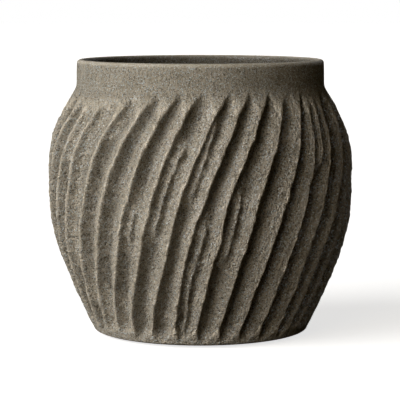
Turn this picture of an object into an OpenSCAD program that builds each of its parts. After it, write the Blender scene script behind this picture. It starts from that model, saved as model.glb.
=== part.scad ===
// Stoneware urn vase: a carved, swirling belly under a smooth thrown collar with a
// wide mouth. Sizes are in millimetres. The origin lies on the table under the middle
// of the pot, +Z is up and the side at -Y is its front.

/* [Belly] */
// Radius of the belly over the crests of the ribs, at its widest
belly_r = 149.8; // [147:0.1:154]
// Height of the widest part above the table
belly_z = 146; // [142:1:150]
// Thickness of the clay wall under a crest
wall_t = 17; // [16:0.5:18]

/* [Foot] */
// Radius of the foot where its rounded edge ends and the wall begins
foot_r = 106.3; // [105:0.1:108]
// Radius of the flat ring that the clay would stand on without its pads
foot_flat_r = 97; // [97:0.5:100]
// Height of the rounded edge of the foot
foot_edge_h = 3.5; // [3:0.5:5]
// Lean of the wall away from upright just above the foot, in degrees
foot_lean = 27.5; // [24:0.5:30]

/* [Ribs] */
// Number of ribs carved round the belly
rib_count = 36; // [30:1:36]
// Depth of the valleys between the ribs
carve_depth = 9.5; // [1:0.1:10]
// Even part of the swirl from the foot to the neck, in degrees round the pot
swirl = 32; // [0:1:40]
// How far a crest may wander from its even place, as a share of what is drawn here
wander = 1; // [0:0.1:1.2]

/* [Collar] */
// Outer radius of the collar
collar_r = 122; // [121.5:0.1:123]
// Radius of the mouth inside the collar
mouth_r = 113.5; // [112:0.5:114]
// Height of the collar above the shoulder
collar_h = 27; // [20:1:35]
// Depth of the step in the shoulder that the collar sits in
seat_h = 5; // [4:0.5:6]
// Radius of both rounded edges of the lip
lip_round = 3.6; // [2:0.1:4]
// Lean of the shoulder inwards just under the collar, in degrees from upright
neck_lean = 34.5; // [30:0.5:38]

/* [Floor] */
// Thickness of the floor disc
floor_t = 10; // [9:0.5:11]
// Radius of the shallow recess trimmed into its underside
recess_r = 62; // [40:1:66]
// Thickness of the waterproof glaze inside the pot
glaze_t = 0.8; // [0.4:0.1:1.2]

/* [Felt pads] */
// Diameter of each pad
pad_d = 18; // [12:1:20]
// Thickness of each pad
pad_t = 2; // [1.5:0.5:3]
// Radius of the circle that the pads stand on
pad_circle_r = 79; // [77:1:79]

/* [Hidden] */
clay = [0.42, 0.39, 0.35];
dark_glaze = [0.14, 0.12, 0.11];
felt = [0.16, 0.16, 0.17];
smooth_fn = 180;

// Heights that follow from the sizes above
clay_z = pad_t;
foot_z = clay_z + foot_edge_h;
neck_z = 243;
top_z = neck_z + collar_h;
clay_h = top_z - clay_z;
floor_z = clay_z + floor_t;

// The neck is where the shoulder meets the collar, and the spigot is the part of the
// collar that reaches down inside the shoulder
neck_r = collar_r - 0.2;
spigot_r = mouth_r + 4;
seat_z = neck_z - seat_h;
liner_r = mouth_r + glaze_t;

// The floor disc has a wide upper half, which hangs on a ledge inside the foot
slab_r = 90;
slab_ledge_r = 96;
ledge_z = clay_z + floor_t / 2;
recess_h = 1.5;

// How far the outline of the belly runs on along its lean from each end, and up and
// down from its widest part, before it bends: the handles of its two curves
foot_reach = 90;
waist_reach_down = 31;
waist_reach_up = 32;
neck_reach = 57;
foot_curve = [
  [foot_r, foot_z],
  [foot_r + foot_reach * sin(foot_lean), foot_z + foot_reach * cos(foot_lean)],
  [belly_r, belly_z - waist_reach_down],
  [belly_r, belly_z]
];
neck_curve = [
  [belly_r, belly_z],
  [belly_r, belly_z + waist_reach_up],
  [neck_r + neck_reach * sin(neck_lean), neck_z - neck_reach * cos(neck_lean)],
  [neck_r, neck_z]
];
curve_steps = 12;

// Across one rib, from its crest to the next one on the right: place along the pitch
// and share of the carving depth there. The right flank is the steep one.
rib_section = [[0, 0], [0.1, 0.42], [0.3, 1], [0.5, 0.86], [0.7, 0.53], [0.9, 0.16]];

// The carving runs out smoothly towards the foot and the collar. Heights here are
// shares of the clay's height.
carve_from = [0.03, 0.07];
carve_to = [0.84, 0.895];

// The swirl quickens a little towards the neck and the foot: factors of the even lean,
// of its change with height and of the change of that
swirl_shape = [1, 0.5, 0.78];
// Direction of the crest of rib 0 at half height, in degrees from the front
first_crest = 1;

// Where the ribs at the front wander from their even places, in degrees, at four
// heights from foot to neck. They start with rib number -5, on the left.
wander_heights = [0.05, 0.35, 0.55, 0.88];
first_drawn_rib = -5;
front_wander = [
  [-2.5, 0.5, 0.5, 0.5],
  [-3, 0.5, 0, 1],
  [-3, 0.5, 0.5, 0.5],
  [-3, 0.5, 0, 0],
  [-2, 1, 0.5, 2],
  [-0.5, -1.5, -0.5, 1.5],
  [0, -0.5, -2, 1],
  [1, 0, -0.5, 0.5],
  [1.5, 0.5, 1, 0.5],
  [2.5, 0.5, 0.5, -3.5],
  [4, 0, 0.5, -3],
  [2.5, -1, 1, -1.5]
];

// The ribs at the back wander in two slow waves: size in degrees, step from rib to rib
// and step over the height. They close up at the foot by as much as the front ones open.
back_waves = [[1.2, 137, 150], [0.8, 77, -230]];
back_closing = 2.5;

function mix(a, b, share) = a + (b - a) * share;
function limit(x) = min(1, max(0, x));
function ease(x) = limit(x) * limit(x) * (3 - 2 * limit(x));
function share_between(x, range) = (x - range[0]) / (range[1] - range[0]);

// Point on a curve with two handles, with t running from 0 to 1
function curve_point(c, t) =
  pow(1 - t, 3) * c[0] + 3 * pow(1 - t, 2) * t * c[1]
  + 3 * (1 - t) * t * t * c[2] + pow(t, 3) * c[3];

// Outline of the uncarved belly as radius and height, from the foot to the neck
function belly_outline() = concat(
  [for (i = [0:curve_steps - 1]) curve_point(foot_curve, i / curve_steps)],
  [for (i = [0:curve_steps]) curve_point(neck_curve, i / curve_steps)]
);

// Rounded edge of the foot, as a quarter of an ellipse
foot_edge_steps = 3;
function foot_edge(step) =
  let (a = 90 * step / foot_edge_steps)
  [foot_flat_r + (foot_r - foot_flat_r) * sin(a), foot_z - foot_edge_h * cos(a)];

function height_share(z) = (z - clay_z) / clay_h;

// Share of the carving depth that is left at a height
function carve_fade(h) =
  ease(share_between(h, carve_from)) * (1 - ease(share_between(h, carve_to)));

// Wander of a drawn rib, eased between the heights where it is given
function drawn_wander(w, h) =
  h < wander_heights[1]
    ? mix(w[0], w[1], ease(share_between(h, [wander_heights[0], wander_heights[1]])))
    : h < wander_heights[2]
      ? mix(w[1], w[2], ease(share_between(h, [wander_heights[1], wander_heights[2]])))
      : mix(w[2], w[3], ease(share_between(h, [wander_heights[2], wander_heights[3]])));

// Wander of a rib at the back, which is a share of the way past the front ones
function wave(w, k, h) = w[0] * sin(w[1] * k + w[2] * h);
function waved_wander(k, h) =
  let (
    drawn = len(front_wander),
    way = (k - first_drawn_rib - drawn) / (rib_count - drawn)
  )
  wave(back_waves[0], k, h) + wave(back_waves[1], k, h)
  + back_closing * (1 - 2 * way) * (1 - limit(h / wander_heights[1]));

function rib_wander(k, h) =
  let (turn = floor((k - first_drawn_rib) / rib_count), own = k - turn * rib_count)
  own - first_drawn_rib < len(front_wander)
    ? drawn_wander(front_wander[own - first_drawn_rib], h)
    : waved_wander(own, h);

// Direction of the crest of rib k at a height, in degrees from the front towards +X
function crest_angle(k, h) =
  let (s = h - 0.5)
  360 / rib_count * k + first_crest
  + swirl * s * (swirl_shape[0] + swirl_shape[1] * s + swirl_shape[2] * s * s)
  + wander * rib_wander(k, h);

// One ring of points round the carved belly, rib by rib
function carved_ring(r, z) =
  let (h = height_share(z), depth = carve_depth * carve_fade(h))
  [for (k = [0:rib_count - 1])
    for (place = rib_section)
      let (
        a = mix(crest_angle(k, h), crest_angle(k + 1, h), place[0]),
        carved_r = r - depth * place[1]
      )
      [carved_r * sin(a), -carved_r * cos(a), z]
  ];

// Inside of the clay wall, as radius and height, from the floor to under the collar.
// The outline of the belly is moved inwards by the wall's thickness.
corner_z = floor_z + 12;
shoulder_inside_z = seat_z - 12;
inside_wall = concat(
  [[slab_ledge_r + 3, floor_z]],
  [for (p = belly_outline())
    if (p[1] > corner_z && p[1] < shoulder_inside_z) [p[0] - wall_t, p[1]]
  ],
  [[liner_r, seat_z]]
);

// Carved outside of the belly as one closed solid. Rings of quads run up the wall, and
// a fan of triangles about a middle point closes each end.
module carved_form() {
  rings = concat(
    [for (i = [0:foot_edge_steps - 1]) let (p = foot_edge(i)) carved_ring(p[0], p[1])],
    [for (p = belly_outline()) carved_ring(p[0], p[1])]
  );
  n = rib_count * len(rib_section);
  last = len(rings) - 1;
  points = concat(
    [for (ring = rings) each ring],
    [[0, 0, rings[0][0][2]], [0, 0, rings[last][0][2]]]
  );
  low_middle = n * len(rings);
  high_middle = low_middle + 1;
  faces = concat(
    [for (j = [0:last - 1])
      for (i = [0:n - 1])
        let (a = j * n + i, b = j * n + (i + 1) % n)
        each [[a, b + n, b], [a, a + n, b + n]]
    ],
    [for (i = [0:n - 1]) [low_middle, i, (i + 1) % n]],
    [for (i = [0:n - 1]) [high_middle, last * n + (i + 1) % n, last * n + i]]
  );
  polyhedron(points = points, faces = faces, convexity = 6);
}

// Hollow inside the wall: the seats of the floor disc and of the collar, and the room
// between them
module wall_hollow() {
  past = 1;
  rotate_extrude($fn = smooth_fn)
    polygon(concat(
      [[0, clay_z - past], [slab_r, clay_z - past], [slab_r, ledge_z]],
      [[slab_ledge_r, ledge_z], [slab_ledge_r, floor_z]],
      inside_wall,
      [[spigot_r, seat_z], [spigot_r, neck_z + past], [0, neck_z + past]]
    ));
}

module belly_wall() {
  color(clay)
    difference() {
      carved_form();
      wall_hollow();
    }
}

// The collar's side swells by a hair at a third of its height and draws in above. Its
// lip is rounded by one arc outside and one inside.
collar_swell = 0.1;
collar_draw_in = 0.5;
lip_steps = 6;

module neck_collar() {
  outer_corner = [collar_r - collar_draw_in - lip_round, top_z - lip_round];
  inner_corner = [mouth_r + lip_round, top_z - lip_round];
  bend = 90 / lip_steps;
  color(clay)
    rotate_extrude($fn = smooth_fn)
      polygon(concat(
        [[mouth_r, seat_z], [spigot_r, seat_z], [spigot_r, neck_z]],
        [[collar_r - collar_draw_in / 2, neck_z]],
        [[collar_r + collar_swell, neck_z + collar_h / 3]],
        [[collar_r - collar_draw_in / 2, neck_z + collar_h * 2 / 3]],
        [for (i = [0:lip_steps]) outer_corner + lip_round * [cos(i * bend), sin(i * bend)]],
        [for (i = [0:lip_steps]) inner_corner + lip_round * [-sin(i * bend), cos(i * bend)]]
      ));
}

module floor_slab() {
  color(clay)
    difference() {
      union() {
        translate([0, 0, clay_z])
          cylinder(r = slab_r, h = floor_t, $fn = smooth_fn);
        translate([0, 0, ledge_z])
          cylinder(r = slab_ledge_r, h = floor_z - ledge_z, $fn = smooth_fn);
      }
      translate([0, 0, clay_z - recess_h])
        cylinder(r = recess_r, h = 2 * recess_h, $fn = smooth_fn);
    }
}

// Glaze poured round the inside: it covers the floor and the wall up to the collar
module inner_glaze() {
  lined = [for (p = inside_wall) [p[0] - glaze_t, max(p[1], floor_z + glaze_t)]];
  top_down = [for (i = [len(lined) - 1:-1:0]) lined[i]];
  color(dark_glaze)
    rotate_extrude($fn = smooth_fn)
      polygon(concat(
        [[0, floor_z]],
        inside_wall,
        top_down,
        [[0, floor_z + glaze_t]]
      ));
}

// Felt pad number i, glued under the floor disc between its recess and its edge
module foot_pad(i) {
  pad_r = pad_d / 2;
  edge = 0.3;
  color(felt)
    rotate([0, 0, 90 * i - 45])
      translate([pad_circle_r, 0, 0])
        rotate_extrude($fn = 48)
          polygon([[0, 0], [pad_r - edge, 0], [pad_r, edge], [pad_r, pad_t], [0, pad_t]]);
}

belly_wall();
neck_collar();
floor_slab();
inner_glaze();
foot_pad(1);  // foot_pad_1
foot_pad(2);  // foot_pad_2
foot_pad(3);  // foot_pad_3
foot_pad(4);  // foot_pad_4
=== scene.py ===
"""Stoneware urn vase with a carved, swirling belly and a smooth thrown collar."""
from math import cos, pi, radians, sin

import bmesh
import bpy
from mathutils import Matrix, Vector


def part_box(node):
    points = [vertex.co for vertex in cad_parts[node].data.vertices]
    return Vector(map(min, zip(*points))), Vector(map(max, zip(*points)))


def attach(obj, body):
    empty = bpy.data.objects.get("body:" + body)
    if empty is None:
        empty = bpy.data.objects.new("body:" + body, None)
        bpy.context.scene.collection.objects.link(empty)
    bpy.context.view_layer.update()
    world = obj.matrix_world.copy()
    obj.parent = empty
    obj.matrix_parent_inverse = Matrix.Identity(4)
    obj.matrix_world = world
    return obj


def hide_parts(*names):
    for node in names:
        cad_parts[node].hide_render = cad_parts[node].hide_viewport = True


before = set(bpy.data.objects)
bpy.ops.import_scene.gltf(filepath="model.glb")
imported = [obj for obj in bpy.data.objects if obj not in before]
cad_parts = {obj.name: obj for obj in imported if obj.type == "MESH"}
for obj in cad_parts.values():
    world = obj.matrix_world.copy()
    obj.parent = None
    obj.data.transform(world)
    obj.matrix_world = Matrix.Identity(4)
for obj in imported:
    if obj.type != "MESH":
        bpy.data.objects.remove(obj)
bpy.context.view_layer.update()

MM = 0.001

# Camera.
# A long lens stands two metres back and looks a little down on the pot, so that the
# front of the lip hides all of the inside but the far wall of the collar.
wall_low, wall_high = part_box("belly_wall")
collar_low, collar_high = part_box("neck_collar")
clay_z = wall_low.z
neck_z = wall_high.z
top_z = collar_high.z
clay_h = top_z - clay_z

camera_distance = 7.349 * clay_h
camera_height = clay_z + 1.2757 * clay_h
camera_tilt = radians(6.186)


def add_object(name, data):
    """Puts a mesh, a light or a camera into the scene."""
    made = bpy.data.objects.new(name, data)
    bpy.context.scene.collection.objects.link(made)
    return made


camera_data = bpy.data.cameras.new("camera")
camera_data.lens = 179.7
camera_data.sensor_width = 36
camera_data.shift_x = -0.001
camera_data.clip_end = 50
camera = add_object("camera", camera_data)
camera.location = (0, -camera_distance, camera_height)
camera.rotation_euler = (pi / 2 - camera_tilt, 0, 0)
bpy.context.scene.camera = camera
bpy.context.scene.view_settings.view_transform = "Standard"

# Studio.
# One wide soft light comes from the left, a little above the pot, and thins out to the
# front. The room is a weak warm fill that looks white to the camera, as the floor does.
light_distance = 2
white = (1, 1, 1, 1)
fill_colour = (1.0, 0.8, 0.44, 1)
fill_strength = 0.038
floor_size = 30
floor_tone = (0.82, 0.81, 0.79, 1)
floor_lift = 0.72
floor_bounce = (0.04, 0.03, 0.018, 1)


def soft_light(name, azimuth, elevation, width, strength, colour):
    """A far, wide light. Azimuth 0 is in front of the pot, and angles are in degrees."""
    data = bpy.data.lights.new(name, "SUN")
    data.energy = strength * pi
    data.angle = radians(width)
    data.color = colour
    turn, rise = radians(azimuth), radians(elevation)
    way = Vector((sin(turn) * cos(rise), -cos(turn) * cos(rise), sin(rise)))
    light = add_object(name, data)
    light.location = way * light_distance
    light.rotation_euler = (-way).to_track_quat("-Z", "Y").to_euler()


def add_node(tree, kind, inputs=None, **settings):
    """Adds a node, sets its options, and fills or links its inputs."""
    made = tree.nodes.new(kind)
    for name, value in settings.items():
        setattr(made, name, value)
    for key, value in (inputs or {}).items():
        socket = made.inputs[key]
        if isinstance(value, bpy.types.NodeSocket):
            tree.links.new(value, socket)
        else:
            socket.default_value = value
    return made


def maths(tree, operation, *values, clamp=False):
    """Adds a Math node and returns its result."""
    made = add_node(tree, "ShaderNodeMath", dict(enumerate(values)), operation=operation)
    made.use_clamp = clamp
    return made.outputs[0]


def mixed(tree, share, low, high):
    """Mixes two colours."""
    return add_node(
        tree, "ShaderNodeMix", {"Factor": share, 6: low, 7: high}, data_type="RGBA"
    ).outputs[2]


def background_share(tree):
    """1 on rays from the camera, straight or by a reflection or a refraction."""
    path = add_node(tree, "ShaderNodeLightPath").outputs
    mirrored = maths(tree, "MAXIMUM", path["Is Glossy Ray"], path["Is Transmission Ray"])
    return maths(tree, "MAXIMUM", path["Is Camera Ray"], mirrored)


def new_material(name):
    """A material without nodes yet, and its tree."""
    material = bpy.data.materials.new(name)
    material.use_nodes = True
    material.node_tree.nodes.clear()
    return material, material.node_tree


soft_light("key", -62, 22, 52, 1.2, (1, 1, 1))
soft_light("key edge", -27, 14, 26, 0.25, (1, 0.9, 0.74))

world = bpy.data.worlds.new("room")
world.use_nodes = True
world_tree = world.node_tree
world_tree.nodes.clear()
room_fill = add_node(
    world_tree, "ShaderNodeBackground", {"Color": fill_colour, "Strength": fill_strength}
)
room_white = add_node(world_tree, "ShaderNodeBackground", {"Color": white, "Strength": 1})
room_mix = add_node(world_tree, "ShaderNodeMixShader", {
    0: background_share(world_tree), 1: room_fill.outputs[0], 2: room_white.outputs[0]
})
add_node(world_tree, "ShaderNodeOutputWorld", {"Surface": room_mix.outputs[0]})
bpy.context.scene.world = world

# The floor is pale where the camera sees it, lifted to white outside the pot's shadow
floor_mesh = bpy.data.meshes.new("floor")
floor_corners = [
    (x * floor_size / 2, y * floor_size / 2, 0) for x, y in ((-1, -1), (1, -1), (1, 1), (-1, 1))
]
floor_mesh.from_pydata(floor_corners, [], [(0, 1, 2, 3)])
floor = add_object("floor", floor_mesh)
floor_material, floor_tree = new_material("pale floor")
floor_seen = background_share(floor_tree)
floor_colour = mixed(floor_tree, floor_seen, floor_bounce, floor_tone)
floor_diffuse = add_node(floor_tree, "ShaderNodeBsdfDiffuse", {"Color": floor_colour})
floor_glow = add_node(floor_tree, "ShaderNodeEmission", {
    "Color": white, "Strength": maths(floor_tree, "MULTIPLY", floor_seen, floor_lift)
})
floor_shader = add_node(floor_tree, "ShaderNodeAddShader", {
    0: floor_diffuse.outputs[0], 1: floor_glow.outputs[0]
})
add_node(floor_tree, "ShaderNodeOutputMaterial", {"Surface": floor_shader.outputs[0]})
floor_mesh.materials.append(floor_material)

# Belly wall.
# The belly is a thick wall of sandy stoneware, thrown round and smooth. Its maker then
# cuts long valleys into the damp clay with a gouge, and leaves a rib between each two.
belly_r = 149.8 * MM
belly_z = 146 * MM
foot_r = 106.3 * MM
foot_flat_r = 97 * MM
foot_edge_h = 3.5 * MM
foot_z = clay_z + foot_edge_h
foot_lean = radians(27.5)
neck_lean = radians(34.5)
neck_r = 121.8 * MM
foot_reach = 90 * MM
waist_reach_down = 31 * MM
waist_reach_up = 32 * MM
neck_reach = 57 * MM
foot_edge_steps = 7
below_waist_steps = 72
above_waist_steps = 52
wall_t = 17 * MM
wall_columns = 648
joint_h = 4.6 * MM
joint_out = 0.8 * MM


def curve_points(start, handle, other_handle, end, steps):
    """Points on a curve with two handles, without its last one."""
    found = []
    for i in range(steps):
        t = i / steps
        found.append(tuple(
            (1 - t) ** 3 * a + 3 * (1 - t) ** 2 * t * b + 3 * (1 - t) * t * t * c + t ** 3 * d
            for a, b, c, d in zip(start, handle, other_handle, end)
        ))
    return found


def corner_points(middle, radius_x, radius_z, start, end, steps):
    """Points of an arc in an outline, from one direction to another in degrees."""
    found = []
    for i in range(steps + 1):
        a = radians(start + (end - start) * i / steps)
        found.append((middle[0] + radius_x * cos(a), middle[1] + radius_z * sin(a)))
    return found


def luting(z):
    """How far the smoothed joint of belly and collar stands out at a height."""
    return joint_out * max(0, 1 - abs(z - neck_z) / joint_h) ** 2


# The profile is two curves that meet at the waist. Each curve keeps the direction that it
# starts with for the length of a reach.
foot_edge = corner_points(
    (foot_flat_r, foot_z), foot_r - foot_flat_r, foot_edge_h, -90, 0, foot_edge_steps
)
below_waist = curve_points(
    (foot_r, foot_z),
    (foot_r + foot_reach * sin(foot_lean), foot_z + foot_reach * cos(foot_lean)),
    (belly_r, belly_z - waist_reach_down),
    (belly_r, belly_z),
    below_waist_steps,
)
above_waist = curve_points(
    (belly_r, belly_z),
    (belly_r, belly_z + waist_reach_up),
    (neck_r + neck_reach * sin(neck_lean), neck_z - neck_reach * cos(neck_lean)),
    (neck_r, neck_z),
    above_waist_steps,
)
wall_outline = [
    (r + luting(z), z) for r, z in foot_edge[:-1] + below_waist + above_waist + [(neck_r, neck_z)]
]

# The collar's spigot sits in a step at the top of the wall, and the floor slab on a ledge
# at its foot. Between them the inside follows the outside.
mouth_r = 113.5 * MM
spigot_r = mouth_r + 4 * MM
liner_r = mouth_r + 0.8 * MM
seat_z = collar_low.z
slab_low, slab_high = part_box("floor_slab")
slab_ledge_r = slab_high.x
slab_r = 90 * MM
ledge_z = (slab_low.z + slab_high.z) / 2
floor_corner = 3 * MM
inside_turn_h = 12 * MM
inside_every = 12
inside_outline = [(slab_ledge_r + floor_corner, slab_high.z)] + [
    (r - wall_t, z)
    for r, z in wall_outline[::inside_every]
    if slab_high.z + inside_turn_h < z < seat_z - inside_turn_h
] + [(liner_r, seat_z)]


def turn_on_wheel(name, outline, columns, closed=True):
    """Turns an outline of radius and height about the pot's axis into a mesh.

    The outline runs upwards on the outside and back down on the inside.
    """
    on_axis = 1e-6
    sharp_edge = radians(40)
    work = bmesh.new()
    rings = []
    for r, z in outline:
        if r < on_axis:
            rings.append([work.verts.new((0, 0, z))] * columns)
            continue
        rings.append([
            work.verts.new((r * sin(2 * pi * i / columns), -r * cos(2 * pi * i / columns), z))
            for i in range(columns)
        ])
    pairs = list(zip(rings, rings[1:]))
    if closed:
        pairs.append((rings[-1], rings[0]))
    for low, high in pairs:
        for i in range(columns):
            corners = [low[i], low[(i + 1) % columns], high[(i + 1) % columns], high[i]]
            unique = list(dict.fromkeys(corners))
            if len(unique) > 2:
                work.faces.new(unique)
    mesh = bpy.data.meshes.new(name)
    work.to_mesh(mesh)
    work.free()
    mesh.shade_smooth()
    mesh.set_sharp_from_angle(angle=sharp_edge)
    return add_object(name, mesh)


def store(piece, name, values):
    """Stores a number at each vertex of a piece."""
    piece.data.attributes.new(name, "FLOAT", "POINT").data.foreach_set("value", values)


wall_section = wall_outline + [(spigot_r, neck_z), (spigot_r, seat_z)] + inside_outline[::-1] + [
    (slab_ledge_r, slab_high.z),
    (slab_ledge_r, ledge_z),
    (slab_r, ledge_z),
    (slab_r, clay_z),
]
belly = turn_on_wheel("belly_wall_carved", wall_section, wall_columns)
store(belly, "outside", [
    float(i // wall_columns < len(wall_outline)) for i in range(len(belly.data.vertices))
])

# Ribs: where their crests run.
# Rib 0 faces the camera at half height, the others follow every ten degrees. Their
# swirl quickens towards the neck, and each wanders a little from its even place.
rib_count = 36
rib_pitch = 360 / rib_count
first_crest = 1
swirl = 32
swirl_shape = (1, 0.5, 0.78)
first_drawn_rib = -5

# The ribs in front stray by these degrees at each of four shares of the height. The ribs
# behind follow two waves, each with a size and its turn by the rib and by the height.
wander_heights = (0.05, 0.35, 0.55, 0.88)
front_wander = (
    (-2.5, 0.5, 0.5, 0.5),
    (-3, 0.5, 0, 1),
    (-3, 0.5, 0.5, 0.5),
    (-3, 0.5, 0, 0),
    (-2, 1, 0.5, 2),
    (-0.5, -1.5, -0.5, 1.5),
    (0, -0.5, -2, 1),
    (1, 0, -0.5, 0.5),
    (1.5, 0.5, 1, 0.5),
    (2.5, 0.5, 0.5, -3.5),
    (4, 0, 0.5, -3),
    (2.5, -1, 1, -1.5),
)
back_waves = ((1.2, 137, 150), (0.8, 77, -230))
back_closing = 2.5


def ease(x):
    """A smooth step from 0 to 1."""
    x = min(1.0, max(0.0, x))
    return x * x * (3 - 2 * x)


def rib_wander(k, h):
    """How far rib k strays from its even place at a share of the height, in degrees."""
    own = (k - first_drawn_rib) % rib_count
    if own < len(front_wander):
        given = front_wander[own]
        place = sum(h > mark for mark in wander_heights[1:3])
        low, high = wander_heights[place], wander_heights[place + 1]
        return given[place] + (given[place + 1] - given[place]) * ease((h - low) / (high - low))
    k = own + first_drawn_rib
    way = (own - len(front_wander)) / (rib_count - len(front_wander))
    waves = sum(size * sin(radians(turn * k + rise * h)) for size, turn, rise in back_waves)
    return waves + back_closing * (1 - 2 * way) * (1 - min(1, h / wander_heights[1]))


def crest_angle(k, h):
    """Direction of the crest of rib k at a share of the height, in degrees."""
    s = h - 0.5
    lean = swirl * s * (swirl_shape[0] + swirl_shape[1] * s + swirl_shape[2] * s * s)
    return rib_pitch * k + first_crest + lean + rib_wander(k, h)


def wall_radius(h):
    """Radius of the uncarved wall at a share of the clay's height."""
    z = clay_z + h * clay_h
    for (r0, z0), (r1, z1) in zip(wall_outline, wall_outline[1:]):
        if z0 <= z <= z1:
            return r0 + (r1 - r0) * (z - z0) / (z1 - z0)
    return neck_r


def between_ribs(k, share, h):
    """Direction at a share of the way from rib k to rib k + 1."""
    return crest_angle(k, h) * (1 - share) + crest_angle(k + 1, h) * share


# Where the gouge slipped, a short rib stands in a valley: the rib on its left, how much
# lower it is than its neighbours as a share of the depth, then its place between them and
# its height on the pot, point by point.
short_ribs = (
    (4, 0, ((0.45, 0.9), (0.45, 0.75), (0.46, 0.62))),
    (-1, 0.3, ((0.27, 0.81), (0.33, 0.74), (0.4, 0.67), (0.45, 0.6), (0.43, 0.53))),
    (-2, 0.3, ((0.5, 0.72), (0.45, 0.66), (0.42, 0.58), (0.42, 0.5), (0.38, 0.41))),
    (0, 0.3, ((0.42, 0.47), (0.43, 0.37), (0.4, 0.28), (0.35, 0.2), (0.43, 0.12), (0.47, 0.04))),
    (1, 0.3, ((0.45, 0.58), (0.43, 0.43), (0.45, 0.31))),
    (-3, 0.3, ((0.45, 0.54), (0.4, 0.36))),
    (9, 0.3, ((0.5, 0.88), (0.42, 0.7), (0.4, 0.58))),
    (12, 0.3, ((0.45, 0.5), (0.4, 0.3), (0.5, 0.04))),
    (15, 0.3, ((0.8, 0.8), (0.5, 0.66), (0.4, 0.5))),
    (19, 0.3, ((0.4, 0.62), (0.36, 0.4), (0.4, 0.22))),
    (22, 0.3, ((0.5, 0.87), (0.44, 0.7))),
    (26, 0.3, ((0.42, 0.45), (0.45, 0.2), (0.5, 0.03))),
)
line_steps = 60
line_to = 0.91
short_steps = 12
short_dive = 9 * MM
short_dive_run = 0.4


def lines_on_wall(name, lines, drops):
    """Bare lines on the uncarved wall, from directions, heights and depths."""
    verts, edges = [], []
    for line in lines:
        edges += [(len(verts) + i, len(verts) + i + 1) for i in range(len(line) - 1)]
        for angle, h, sunk in line:
            r = wall_radius(h) - sunk
            a = radians(angle)
            verts.append((r * sin(a), -r * cos(a), clay_z + h * clay_h))
    mesh = bpy.data.meshes.new(name)
    mesh.from_pydata(verts, edges, [])
    made = add_object(name, mesh)
    store(made, "drop", [drop for line, drop in zip(lines, drops) for _ in line])
    return made


def crest_lines():
    """The crests of the long ribs."""
    heights = [line_to * i / line_steps for i in range(line_steps + 1)]
    lines = [[(crest_angle(k, h), h, 0) for h in heights] for k in range(rib_count)]
    return lines_on_wall("crest_lines", lines, [0] * rib_count)


def short_lines():
    """The crests of the short ribs, which dive into the wall at both ends."""
    lines = []
    for k, _, places in short_ribs:
        stretches = len(places) - 1
        line = []
        for i in range(stretches * short_steps + 1):
            j = min(i // short_steps, stretches - 1)
            way = i / short_steps - j
            u = places[j][0] + (places[j + 1][0] - places[j][0]) * way
            h = places[j][1] + (places[j + 1][1] - places[j][1]) * way
            from_end = min(i, stretches * short_steps - i) / short_steps
            sunk = short_dive * (1 - ease(from_end / short_dive_run))
            line.append((between_ribs(k, u, h), h, sunk))
        lines.append(line)
    return lines_on_wall("short_lines", lines, [drop for _, drop, _ in short_ribs])


# Ribs: the gouge.
# The tree finds each point's nearest crest, and sinks the wall by its distance from it:
# steeply to the right of a crest, gently to its left, roughly in the valleys.
right_of_crest = (
    (0, 0), (0.02, 0.06), (0.1, 0.42), (0.2, 0.8), (0.27, 0.96), (0.33, 1), (0.5, 0.92), (1, 0.92)
)
left_of_crest = (
    (0, 0), (0.02, 0.02), (0.1, 0.16), (0.2, 0.35), (0.3, 0.54), (0.4, 0.73), (0.5, 0.92),
    (0.6, 1), (1, 1)
)


def vector_maths(tree, operation, *values, scale=None):
    """Adds a Vector Math node and returns its result."""
    inputs = dict(enumerate(values))
    if scale is not None:
        inputs["Scale"] = scale
    outputs = add_node(tree, "ShaderNodeVectorMath", inputs, operation=operation).outputs
    return outputs["Value" if operation == "DOT_PRODUCT" else "Vector"]


def ramp(tree, value, low, high, first=0.0, last=1.0, smooth=False):
    """Turns a value's way from low to high into a number from first to last."""
    return add_node(tree, "ShaderNodeMapRange", {
        "Value": value, "From Min": low, "From Max": high, "To Min": first, "To Max": last
    }, interpolation_type="SMOOTHSTEP" if smooth else "LINEAR").outputs[0]


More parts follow.
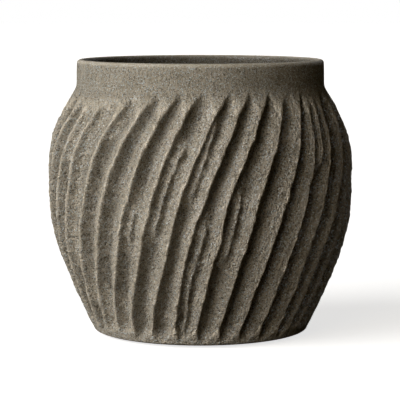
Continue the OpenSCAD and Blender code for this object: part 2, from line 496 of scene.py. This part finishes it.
def carving_tree():
    """Geometry Nodes that carve the valleys between the crest lines."""
    tree = bpy.data.node_groups.new("Carved ribs", "GeometryNodeTree")
    asked = [("Geometry", "Geometry"), ("Crest Lines", "Object"), ("Short Lines", "Object")]
    asked += [(name, "Float") for name in (
        "Carve Depth", "Rib Pitch", "Foot Height", "Neck Height", "Foot Run", "Neck Run",
        "Lump Depth", "Lump Size", "Drag", "Bulge", "Edge Wobble", "Torn Tone", "Edge Tone",
        "Seed",
    )]
    asked.append(("Clay", "Material"))
    for name, kind in asked:
        tree.interface.new_socket(name, in_out="INPUT", socket_type="NodeSocket" + kind)
    tree.interface.new_socket("Geometry", in_out="OUTPUT", socket_type="NodeSocketGeometry")
    given = add_node(tree, "NodeGroupInput").outputs

    def stored(name):
        """An attribute of the mesh that the tree works on."""
        return add_node(
            tree, "GeometryNodeInputNamedAttribute", {"Name": name}, data_type="FLOAT"
        ).outputs[0]

    def either(test, if_not, if_so):
        """One of two numbers, by a test that is 0 or 1."""
        return add_node(tree, "ShaderNodeMix", {"Factor": test, 2: if_not, 3: if_so}).outputs[0]

    def blurred(value, times, weight=1.0):
        """A number averaged with its neighbours on the mesh."""
        return add_node(tree, "GeometryNodeBlurAttribute", {
            "Value": value, "Iterations": times, "Weight": weight
        }, data_type="FLOAT").outputs[0]

    position = add_node(tree, "GeometryNodeInputPosition").outputs[0]
    x, y, z = add_node(tree, "ShaderNodeSeparateXYZ", {0: position}).outputs
    radius = maths(tree, "SQRT", maths(
        tree, "ADD", maths(tree, "MULTIPLY", x, x), maths(tree, "MULTIPLY", y, y)
    ))
    out_x = maths(tree, "DIVIDE", x, radius)
    out_y = maths(tree, "DIVIDE", y, radius)
    outward = add_node(tree, "ShaderNodeCombineXYZ", {0: out_x, 1: out_y}).outputs[0]
    around = add_node(tree, "ShaderNodeCombineXYZ", {
        0: maths(tree, "MULTIPLY", out_y, -1.0), 1: out_x
    }).outputs[0]

    # The gouge drags the clay, so the noise is drawn out along the ribs
    rib_lean = 0.42
    rib_rise = 0.9
    along = vector_maths(tree, "MULTIPLY_ADD", around, (rib_lean,) * 3, (0, 0, rib_rise))
    drag = maths(tree, "MULTIPLY", z, maths(tree, "MULTIPLY", given["Drag"], -1.0))
    drawn_out = vector_maths(
        tree, "ADD", position, vector_maths(tree, "SCALE", along, scale=drag)
    )
    lump_scale = maths(tree, "DIVIDE", 1.0, given["Lump Size"])

    def wave(share, detail, step):
        """Smooth noise about 0 at a share of the lumps' scale, in its own place."""
        made = add_node(tree, "ShaderNodeTexNoise", {
            "Vector": drawn_out,
            "W": maths(tree, "ADD", given["Seed"], step),
            "Scale": maths(tree, "MULTIPLY", lump_scale, share),
            "Detail": detail,
            "Roughness": 0.65,
        }, noise_dimensions="4D")
        return maths(tree, "SUBTRACT", made.outputs[0], 0.5)

    # The crests wobble a little as the gouge slips
    wobble = maths(tree, "MULTIPLY", wave(share=0.45, detail=2.0, step=1.0), given["Edge Wobble"])
    probe = vector_maths(
        tree, "ADD", position, vector_maths(tree, "SCALE", around, scale=wobble)
    )
    pitch = maths(tree, "MULTIPLY", radius, maths(tree, "RADIANS", given["Rib Pitch"]))

    def valley_depth(share, points):
        """Depth of the valley by distance from a crest, in shares of the pitch."""
        made = add_node(tree, "ShaderNodeFloatCurve", {"Value": share})
        curve = made.mapping.curves[0]
        while len(curve.points) < len(points):
            curve.points.new(0.5, 0.5)
        for point, place in zip(curve.points, points):
            point.location = place
            point.handle_type = "AUTO"
        made.mapping.update()
        return made.outputs[0]

    def depth_beside(lines):
        """Depth beside the nearest of some lines, and 1 on that line's right side."""
        lines = add_node(tree, "GeometryNodeObjectInfo", {"Object": lines}).outputs["Geometry"]
        nearest = add_node(tree, "GeometryNodeProximity", {
            "Geometry": lines, "Sample Position": probe
        }, target_element="EDGES").outputs
        share = maths(tree, "DIVIDE", nearest["Distance"], pitch)
        offset = vector_maths(tree, "SUBTRACT", probe, nearest["Position"])
        side = vector_maths(tree, "DOT_PRODUCT", offset, around)
        is_right = maths(tree, "GREATER_THAN", side, 0.0)
        cut = either(
            is_right, valley_depth(share, left_of_crest), valley_depth(share, right_of_crest)
        )
        point = add_node(tree, "GeometryNodeSampleNearest", {
            "Geometry": lines, "Sample Position": probe
        }, domain="POINT").outputs[0]
        drop = add_node(tree, "GeometryNodeSampleIndex", {
            "Geometry": lines, "Value": stored("drop"), "Index": point
        }, data_type="FLOAT", domain="POINT").outputs[0]
        return maths(tree, "ADD", cut, drop), is_right

    # A short rib hides the long ones only where it stands higher than they do
    long_depth, long_right = depth_beside(given["Crest Lines"])
    short_depth, short_right = depth_beside(given["Short Lines"])
    depth = maths(tree, "MINIMUM", long_depth, short_depth)
    on_short = maths(tree, "LESS_THAN", short_depth, long_depth)
    on_right = either(on_short, long_right, short_right)

    # The valleys narrow to ragged points towards the foot and the collar
    raggedness = 0.6
    above_foot = maths(tree, "SUBTRACT", z, given["Foot Height"])
    below_neck = maths(tree, "SUBTRACT", given["Neck Height"], z)
    run = maths(
        tree,
        "MINIMUM",
        maths(tree, "DIVIDE", above_foot, given["Foot Run"]),
        maths(tree, "DIVIDE", below_neck, given["Neck Run"]),
    )
    ragged = maths(tree, "MULTIPLY", wave(share=1.0, detail=1.0, step=2.0), raggedness)
    room = maths(tree, "MULTIPLY_ADD", ragged, run, run, clamp=True)
    cut = maths(
        tree, "MAXIMUM", maths(tree, "SUBTRACT", depth, maths(tree, "SUBTRACT", 1.0, room)), 0.0
    )
    soft_cut = blurred(cut, 2, ramp(tree, cut, 0.35, 0.8))
    ends = ramp(tree, run, 0.0, 1.0, smooth=True)

    # The gouge cuts unevenly, and tears lumps out of the floor of each valley
    unevenness = 0.5
    crest_roughness = 0.25
    uneven = maths(
        tree, "MULTIPLY_ADD", wave(share=0.3, detail=1.0, step=3.0), unevenness, 1.0
    )
    valley = maths(
        tree, "MULTIPLY", maths(tree, "MULTIPLY", soft_cut, given["Carve Depth"]), uneven
    )
    roughness = ramp(tree, soft_cut, 0.1, 0.6, first=crest_roughness)
    torn = maths(tree, "MULTIPLY", wave(share=1.5, detail=4.0, step=4.0), given["Lump Depth"])
    lumps = maths(tree, "MULTIPLY", torn, roughness)
    bulges = maths(tree, "MULTIPLY", wave(share=0.2, detail=1.0, step=5.0), given["Bulge"])
    swell = maths(tree, "MULTIPLY", maths(tree, "ADD", lumps, bulges), ends)
    outside = stored("outside")
    outwards = maths(tree, "MULTIPLY", maths(tree, "SUBTRACT", swell, valley), outside)
    carved = add_node(tree, "GeometryNodeSetPosition", {
        "Geometry": given["Geometry"],
        "Offset": vector_maths(tree, "SCALE", outward, scale=outwards),
    })

    # The gouge lays the sand bare on the left of each valley, the flank that faces the lamp,
    # which is painted paler as painted light. Hands and sponge wear the crests smooth, each
    # crest gets a thin painted highlight, and the clay is darker where the valleys run out.
    end_shade = 0.18
    crest_wear = 0.62
    grain_lost = 0.45
    cut_here = maths(tree, "MULTIPLY", ramp(tree, soft_cut, 0.02, 0.15), outside)
    on_left = maths(tree, "SUBTRACT", 1.0, on_right)
    # The flank that faces the lamp: its sand gets a coat, and it is painted paler
    sand_on_lit_flank = blurred(maths(tree, "MULTIPLY", cut_here, on_left), 1)
    # A thin pale line along each crest: a painted highlight
    crest_highlight_band = maths(tree, "MULTIPLY", ramp(tree, soft_cut, 0.1, 0.02), ends)
    crest_highlight_paint = maths(tree, "MULTIPLY", crest_highlight_band, outside)
    on_top = ramp(tree, soft_cut, 0.42, 0.08)
    shade = maths(tree, "MULTIPLY", maths(tree, "SUBTRACT", ends, 1.0), end_shade)
    # Painted highlight along each crest
    shade = maths(tree, "MULTIPLY_ADD", crest_highlight_paint, given["Edge Tone"], shade)
    # Painted light: the flank that faces the lamp is made paler
    shade = maths(tree, "MULTIPLY_ADD", sand_on_lit_flank, given["Torn Tone"], shade)
    worn_grain = maths(tree, "MULTIPLY", on_top, maths(tree, "MULTIPLY", ends, grain_lost))
    kept = carved
    for name, value in (
        ("shade", shade),
        ("worn", maths(tree, "MULTIPLY", on_top, crest_wear)),
        ("grain", maths(tree, "SUBTRACT", 1.0, worn_grain)),
        ("glint", sand_on_lit_flank),
    ):
        kept = add_node(tree, "GeometryNodeStoreNamedAttribute", {
            "Geometry": kept.outputs[0], "Name": name, "Value": value
        }, data_type="FLOAT", domain="POINT")
    real = add_node(tree, "GeometryNodeRealizeInstances", {"Geometry": kept.outputs[0]})
    coated = add_node(tree, "GeometryNodeSetMaterial", {
        "Geometry": real.outputs[0], "Material": given["Clay"]
    })
    add_node(tree, "NodeGroupOutput", {0: coated.outputs[0]})
    return tree


def sandy_clay_group():
    """Shader group: the sand in the clay as dark and pale grains, a mottle and a height."""
    dark_grains = 0.35
    pale_grains = 0.25
    fine_pale_grains = 0.15
    fine_scale = 1.7
    fine_rise = 0.4
    sunk_grains = 0.3
    tree = bpy.data.node_groups.new("Sandy clay", "ShaderNodeTree")
    for name, kind in (("Vector", "Vector"), ("Grain Size", "Float"), ("Coarse", "Float")):
        tree.interface.new_socket(name, in_out="INPUT", socket_type="NodeSocket" + kind)
    for name in ("Height", "Dark Grains", "Pale Grains", "Mottle"):
        tree.interface.new_socket(name, in_out="OUTPUT", socket_type="NodeSocketFloat")
    given = add_node(tree, "NodeGroupInput").outputs
    scale = maths(tree, "DIVIDE", 1.0, given["Grain Size"])

    def grains(share):
        """Grains at a share of the grain scale: each one's own number, and its dome."""
        cells = add_node(tree, "ShaderNodeTexVoronoi", {
            "Vector": given["Vector"], "Scale": maths(tree, "MULTIPLY", scale, share)
        }, feature="F1").outputs
        number = add_node(tree, "ShaderNodeSeparateColor", {0: cells["Color"]}).outputs[0]
        return number, ramp(tree, cells["Distance"], 0.6, 0.25, smooth=True)

    def noise(share, detail):
        """Smooth noise at a share of the grain scale."""
        return add_node(tree, "ShaderNodeTexNoise", {
            "Vector": given["Vector"],
            "Scale": maths(tree, "MULTIPLY", scale, share),
            "Detail": detail,
            "Roughness": 0.6,
        }).outputs[0]

    number, dome = grains(1.0)
    fine_number, fine_dome = grains(fine_scale)
    dark = maths(tree, "MULTIPLY", maths(tree, "LESS_THAN", number, dark_grains), dome)
    pale = maths(
        tree, "MULTIPLY", maths(tree, "GREATER_THAN", number, 1 - pale_grains), dome
    )
    fine_pale = maths(
        tree, "MULTIPLY", maths(tree, "GREATER_THAN", fine_number, 1 - fine_pale_grains), fine_dome
    )
    grain_height = maths(tree, "MULTIPLY", dome, maths(tree, "SUBTRACT", number, sunk_grains))
    fine_height = maths(tree, "MULTIPLY", fine_dome, fine_number)
    height = maths(tree, "MULTIPLY_ADD", fine_height, fine_rise, grain_height)
    height = maths(tree, "MULTIPLY_ADD", noise(share=0.35, detail=3.0), given["Coarse"], height)
    add_node(tree, "NodeGroupOutput", {
        "Height": height,
        "Dark Grains": dark,
        "Pale Grains": maths(tree, "MAXIMUM", pale, fine_pale),
        "Mottle": noise(share=0.08, detail=4.0),
    })
    return tree


sandy_clay = sandy_clay_group()


def clay_material(name, pale, deep, grain_size, coarse, bump_height, sheen):
    """Unglazed sandy stoneware, tuned by four attributes of the mesh.

    Shade makes the clay paler or darker and carries painted light and shade, worn
    flattens its grain, grain keeps its speckles and glint lets its sand shine.
    """
    dark_grain = tuple(c * 0.25 for c in deep[:3]) + (1,)
    # Pale sand, tinted cool and bright as a painted glint too
    pale_sand_and_glint = (0.74, 0.8, 0.81, 1)
    film_of_clay = 0.05
    film_of_wear = 0.4
    glint_of_sand = 2.8
    coat_roughness = 0.42
    wear_polish = 0.2
    material, tree = new_material(name)
    place = add_node(tree, "ShaderNodeTexCoord").outputs["Object"]
    sand = add_node(tree, "ShaderNodeGroup", node_tree=sandy_clay)
    tree.links.new(place, sand.inputs["Vector"])
    sand.inputs["Grain Size"].default_value = grain_size
    sand.inputs["Coarse"].default_value = coarse
    shade, worn, grain, glint = (
        add_node(tree, "ShaderNodeAttribute", attribute_name=part).outputs["Fac"]
        for part in ("shade", "worn", "grain", "glint")
    )
    dark = maths(tree, "MULTIPLY", sand.outputs["Dark Grains"], grain)
    light = maths(tree, "MULTIPLY", sand.outputs["Pale Grains"], grain)
    colour = mixed(tree, ramp(tree, sand.outputs["Mottle"], 0.35, 0.65), deep, pale)
    colour = mixed(tree, dark, colour, dark_grain)
    # Pale grains: light sand and a painted glint
    colour = mixed(tree, light, colour, pale_sand_and_glint)
    colour = vector_maths(tree, "SCALE", colour, scale=maths(tree, "ADD", 1.0, shade))

    # The sand's flat grains catch the light like a broken coat
    facing = add_node(tree, "ShaderNodeLayerWeight", {"Blend": 0.3}).outputs["Facing"]
    seen_flat = maths(tree, "SUBTRACT", 1.0, facing, clamp=True)
    coat = maths(tree, "MULTIPLY_ADD", worn, film_of_wear, film_of_clay)
    coat = maths(tree, "MULTIPLY_ADD", sand.outputs["Pale Grains"], glint_of_sand, coat)
    coat = maths(tree, "MULTIPLY", coat, maths(tree, "MULTIPLY", glint, sheen))
    rough = maths(tree, "SUBTRACT", 1.0, worn)
    bump = add_node(tree, "ShaderNodeBump", {
        "Distance": bump_height,
        "Height": maths(tree, "MULTIPLY", sand.outputs["Height"], rough),
    })
    shader = add_node(tree, "ShaderNodeBsdfPrincipled", {
        "Base Color": colour,
        "Roughness": 0.9,
        "Specular IOR Level": 0.0,
        "Coat Weight": maths(tree, "MULTIPLY", coat, seen_flat, clamp=True),
        "Coat Roughness": maths(
            tree, "SUBTRACT", coat_roughness, maths(tree, "MULTIPLY", worn, wear_polish)
        ),
        "Normal": bump.outputs[0],
    })
    add_node(tree, "ShaderNodeOutputMaterial", {"Surface": shader.outputs[0]})
    return material


def run_tree(piece, tree, name, values):
    """Runs a Geometry Nodes tree on a piece and keeps its result as a plain mesh."""
    modifier = piece.modifiers.new(name, "NODES")
    modifier.node_group = tree
    sockets = {s.name: s.identifier for s in tree.interface.items_tree if s.in_out == "INPUT"}
    for key, value in values.items():
        modifier[sockets[key]] = value
    piece.update_tag()
    bpy.context.view_layer.update()
    graph = bpy.context.evaluated_depsgraph_get()
    mesh = bpy.data.meshes.new_from_object(
        piece.evaluated_get(graph), preserve_all_data_layers=True, depsgraph=graph
    )
    piece.modifiers.clear()
    old = piece.data
    piece.data = mesh
    mesh.name = old.name
    bpy.data.meshes.remove(old)


# The carved clay is painted paler than the collar, which is the same clay: painted light
carved_pale_lightened = (0.525, 0.467, 0.378, 1)
# that makes up for the shade of the ribs
carved_deep_lightened = (0.43, 0.378, 0.294, 1)
carved_clay = clay_material(
    "carved clay",
    carved_pale_lightened,
    carved_deep_lightened,
    grain_size=1.3 * MM,
    coarse=1.8,
    bump_height=7.5 * MM,
    sheen=0.8,
)
drawn_lines = (crest_lines(), short_lines())
run_tree(belly, carving_tree(), "Carved ribs", {
    "Crest Lines": drawn_lines[0],
    "Short Lines": drawn_lines[1],
    "Carve Depth": 10.5 * MM,
    "Rib Pitch": float(rib_pitch),
    "Foot Height": clay_z + 5 * MM,
    "Neck Height": neck_z - 0.5 * MM,
    "Foot Run": 12 * MM,
    "Neck Run": 21 * MM,
    "Lump Depth": 11.5 * MM,
    "Lump Size": 4.5 * MM,
    "Drag": 0.45,
    "Bulge": 3.0 * MM,
    "Edge Wobble": 6.5 * MM,
    # Painted light on the flank that faces the lamp
    "Torn Tone": 0.42,
    # Painted highlight along each crest
    "Edge Tone": 0.48,
    "Seed": 3.0,
    "Clay": carved_clay,
})
for drawn in drawn_lines:
    bpy.data.objects.remove(drawn)
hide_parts("belly_wall")
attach(belly, "root")

# Neck collar.
# A plain ring of the same clay is thrown on the wheel, and luted into the shoulder with a
# short spigot. Its lip is rounded with a wet sponge, which leaves the sand standing.
collar_r = 122 * MM
collar_draw_in = 0.5 * MM
joint_draw_in = 0.2 * MM
lip_round = 3.6 * MM
lip_z = top_z - lip_round
lip_steps = 8
side_steps = 20
inner_steps = 8
clay_pale = (0.39, 0.348, 0.278, 1)
clay_deep = (0.325, 0.288, 0.223, 1)

collar_side = []
for i in range(side_steps):
    way = i / side_steps
    z = neck_z + (lip_z - neck_z) * way
    drawn_in = collar_draw_in * way ** 2 + joint_draw_in * (1 - way)
    collar_side.append((collar_r - drawn_in + luting(z), z))
lip = corner_points(
    (collar_r - collar_draw_in - lip_round, lip_z), lip_round, lip_round, 0, 90, lip_steps
) + corner_points((mouth_r + lip_round, lip_z), lip_round, lip_round, 90, 180, lip_steps)
collar_inside = [
    (mouth_r, seat_z + (lip_z - seat_z) * i / inner_steps) for i in range(inner_steps - 1, 0, -1)
]
spigot = [(mouth_r, seat_z), (spigot_r, seat_z), (spigot_r, neck_z)]
collar_outline = spigot + collar_side + lip + collar_inside
collar = turn_on_wheel("neck_collar_thrown", collar_outline, columns=432)

# The inside is painted darker as painted shade, and the sponge has worn the round of the
# lip smooth
inside_painted_shade = -0.7
inside_shade_paint_run = 0.8 * lip_round
lip_worn = 0.85
lip_worn_run = 1.4 * lip_round
lip_glint = 6
collar_grain = 0.9
lip_grain_lost = 0.5
shade, worn = [], []
for point in collar.data.vertices:
    r = Vector(point.co[:2]).length
    # Painted shade inside the mouth
    shade.append(inside_painted_shade * (1 - ease((r - mouth_r) / inside_shade_paint_run)))
    worn.append(lip_worn * ease((point.co.z - top_z + lip_worn_run) / lip_round))
store(collar, "shade", shade)
store(collar, "worn", worn)
store(collar, "grain", [collar_grain - lip_grain_lost * w for w in worn])
store(collar, "glint", [1 + lip_glint * w for w in worn])
collar.data.materials.append(clay_material(
    "smooth clay",
    clay_pale,
    clay_deep,
    grain_size=1.25 * MM,
    coarse=0.4,
    bump_height=2.6 * MM,
    sheen=0.08,
))
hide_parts("neck_collar")
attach(collar, "root")

# Floor slab.
# The floor is a thrown disc of the same clay, on a ledge inside the wall. Its underside is
# trimmed to a shallow recess, and the trimming tool leaves fine rings there.
recess_r = 62 * MM
recess_h = 1.5 * MM
recess_edge = 0.5 * MM
ring_h = 0.12 * MM
ring_step = 3.1 * MM
recess_steps = 125
underside = [(0, clay_z + recess_h)]
for i in range(1, recess_steps):
    r = recess_r * i / recess_steps
    underside.append((r, clay_z + recess_h + ring_h * sin(2 * pi * r / ring_step)))
slab_outline = underside + [
    (recess_r, clay_z + recess_h),
    (recess_r + recess_edge, clay_z),
    (slab_r, clay_z),
    (slab_r, ledge_z),
    (slab_ledge_r, ledge_z),
    (slab_ledge_r, slab_high.z),
    (0, slab_high.z),
]
slab = turn_on_wheel("floor_slab_trimmed", slab_outline, columns=240, closed=False)
store(slab, "grain", [1.0] * len(slab.data.vertices))
slab.data.materials.append(clay_material(
    "bare clay",
    clay_pale,
    clay_deep,
    grain_size=1.7 * MM,
    coarse=0.2,
    bump_height=0.3 * MM,
    sheen=0.05,
))
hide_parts("floor_slab")
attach(slab, "root")

# Inner glaze.
# A dark glaze is poured round the inside and out again. It follows the throwing rings of
# the wall, breaks brown on each ring and pools black on the floor.
glaze_t = 0.8 * MM
glaze_step = 2 * MM
throwing_h = 0.3 * MM
throwing_step = 13 * MM
glaze_clouding = 4.0
glaze_black = (0.012, 0.009, 0.007, 1)
glaze_brown = (0.07, 0.035, 0.016, 1)
fine_wall = []
for (r0, z0), (r1, z1) in zip(inside_outline, inside_outline[1:]):
    steps = max(1, round((z1 - z0) / glaze_step))
    fine_wall += [(r0 + (r1 - r0) * i / steps, z0 + (z1 - z0) * i / steps) for i in range(steps)]
fine_wall.append(inside_outline[-1])
glaze_floor_z = slab_high.z + glaze_t
glaze_inside = []
for r, z in fine_wall:
    ring = throwing_h * (0.5 + 0.5 * sin(2 * pi * z / throwing_step))
    glaze_inside.append((r - glaze_t - ring, max(z, glaze_floor_z)))
glaze_outline = [(0, slab_high.z)] + fine_wall + glaze_inside[::-1] + [(0, glaze_floor_z)]
glaze = turn_on_wheel("inner_glaze_poured", glaze_outline, columns=240, closed=False)

glaze_material, glaze_tree = new_material("dark glaze")
glaze_place = add_node(glaze_tree, "ShaderNodeTexCoord").outputs["Object"]
glaze_height = add_node(glaze_tree, "ShaderNodeSeparateXYZ", {0: glaze_place}).outputs[2]
ring_turn = maths(glaze_tree, "MULTIPLY", glaze_height, 2 * pi / throwing_step)
throwing_wave = maths(glaze_tree, "SINE", ring_turn)
glaze_cloud = add_node(glaze_tree, "ShaderNodeTexNoise", {
    "Vector": glaze_place, "Scale": 60.0, "Detail": 4.0, "Roughness": 0.6
}).outputs[0]
glaze_thin = maths(glaze_tree, "MULTIPLY_ADD", glaze_cloud, glaze_clouding, throwing_wave)
glaze_break = ramp(glaze_tree, glaze_thin, 1.6, 3.0, smooth=True)
orange_peel = add_node(glaze_tree, "ShaderNodeTexNoise", {
    "Vector": glaze_place, "Scale": 400.0, "Detail": 1.0
})
glaze_bump = add_node(glaze_tree, "ShaderNodeBump", {
    "Strength": 0.5, "Distance": 0.2 * MM, "Height": orange_peel.outputs[0]
})
glaze_shader = add_node(glaze_tree, "ShaderNodeBsdfPrincipled", {
    "Base Color": mixed(glaze_tree, glaze_break, glaze_black, glaze_brown),
    "Roughness": 0.16,
    "Coat Weight": 0.5,
    "Coat Roughness": 0.08,
    "Normal": glaze_bump.outputs[0],
})
add_node(glaze_tree, "ShaderNodeOutputMaterial", {"Surface": glaze_shader.outputs[0]})
glaze.data.materials.append(glaze_material)
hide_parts("inner_glaze")
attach(glaze, "root")

# Felt pads.
# Four discs of dark wool felt, punched from a sheet and glued under the floor slab, so
# that the rough clay doesn't scratch a table. Their edges are soft and a little hairy.
pad_count = 4
pad_edge = 0.5 * MM
pad_edge_steps = 4
felt_dark = (0.03, 0.03, 0.032, 1)
felt_pale = (0.1, 0.1, 0.105, 1)
felt_material, felt_tree = new_material("wool felt")
felt_place = add_node(felt_tree, "ShaderNodeTexCoord").outputs["Object"]
fibres = add_node(felt_tree, "ShaderNodeTexNoise", {
    "Vector": felt_place, "Scale": 1500.0, "Detail": 3.0, "Roughness": 0.7, "Distortion": 2.0
}).outputs[0]
felt_bump = add_node(felt_tree, "ShaderNodeBump", {"Distance": 0.4 * MM, "Height": fibres})
felt_shader = add_node(felt_tree, "ShaderNodeBsdfPrincipled", {
    "Base Color": mixed(felt_tree, fibres, felt_dark, felt_pale),
    "Roughness": 0.95,
    "Specular IOR Level": 0.1,
    "Sheen Weight": 0.4,
    "Normal": felt_bump.outputs[0],
})
add_node(felt_tree, "ShaderNodeOutputMaterial", {"Surface": felt_shader.outputs[0]})

for number in range(1, pad_count + 1):
    node = "foot_pad_%d" % number
    pad_low, pad_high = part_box(node)
    pad_middle = (pad_low + pad_high) / 2
    pad_r = (pad_high.x - pad_low.x) / 2
    pad_h = pad_high.z - pad_low.z
    rounded = corner_points(
        (pad_r - pad_edge, pad_edge), pad_edge, pad_edge, -90, 0, pad_edge_steps
    )
    pad_outline = [(0, 0)] + rounded + [(pad_r, pad_h), (0, pad_h)]
    pad = turn_on_wheel(node + "_felt", pad_outline, columns=64, closed=False)
    pad.data.transform(Matrix.Translation((pad_middle.x, pad_middle.y, pad_low.z)))
    pad.data.materials.append(felt_material)
    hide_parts(node)
    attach(pad, "root")
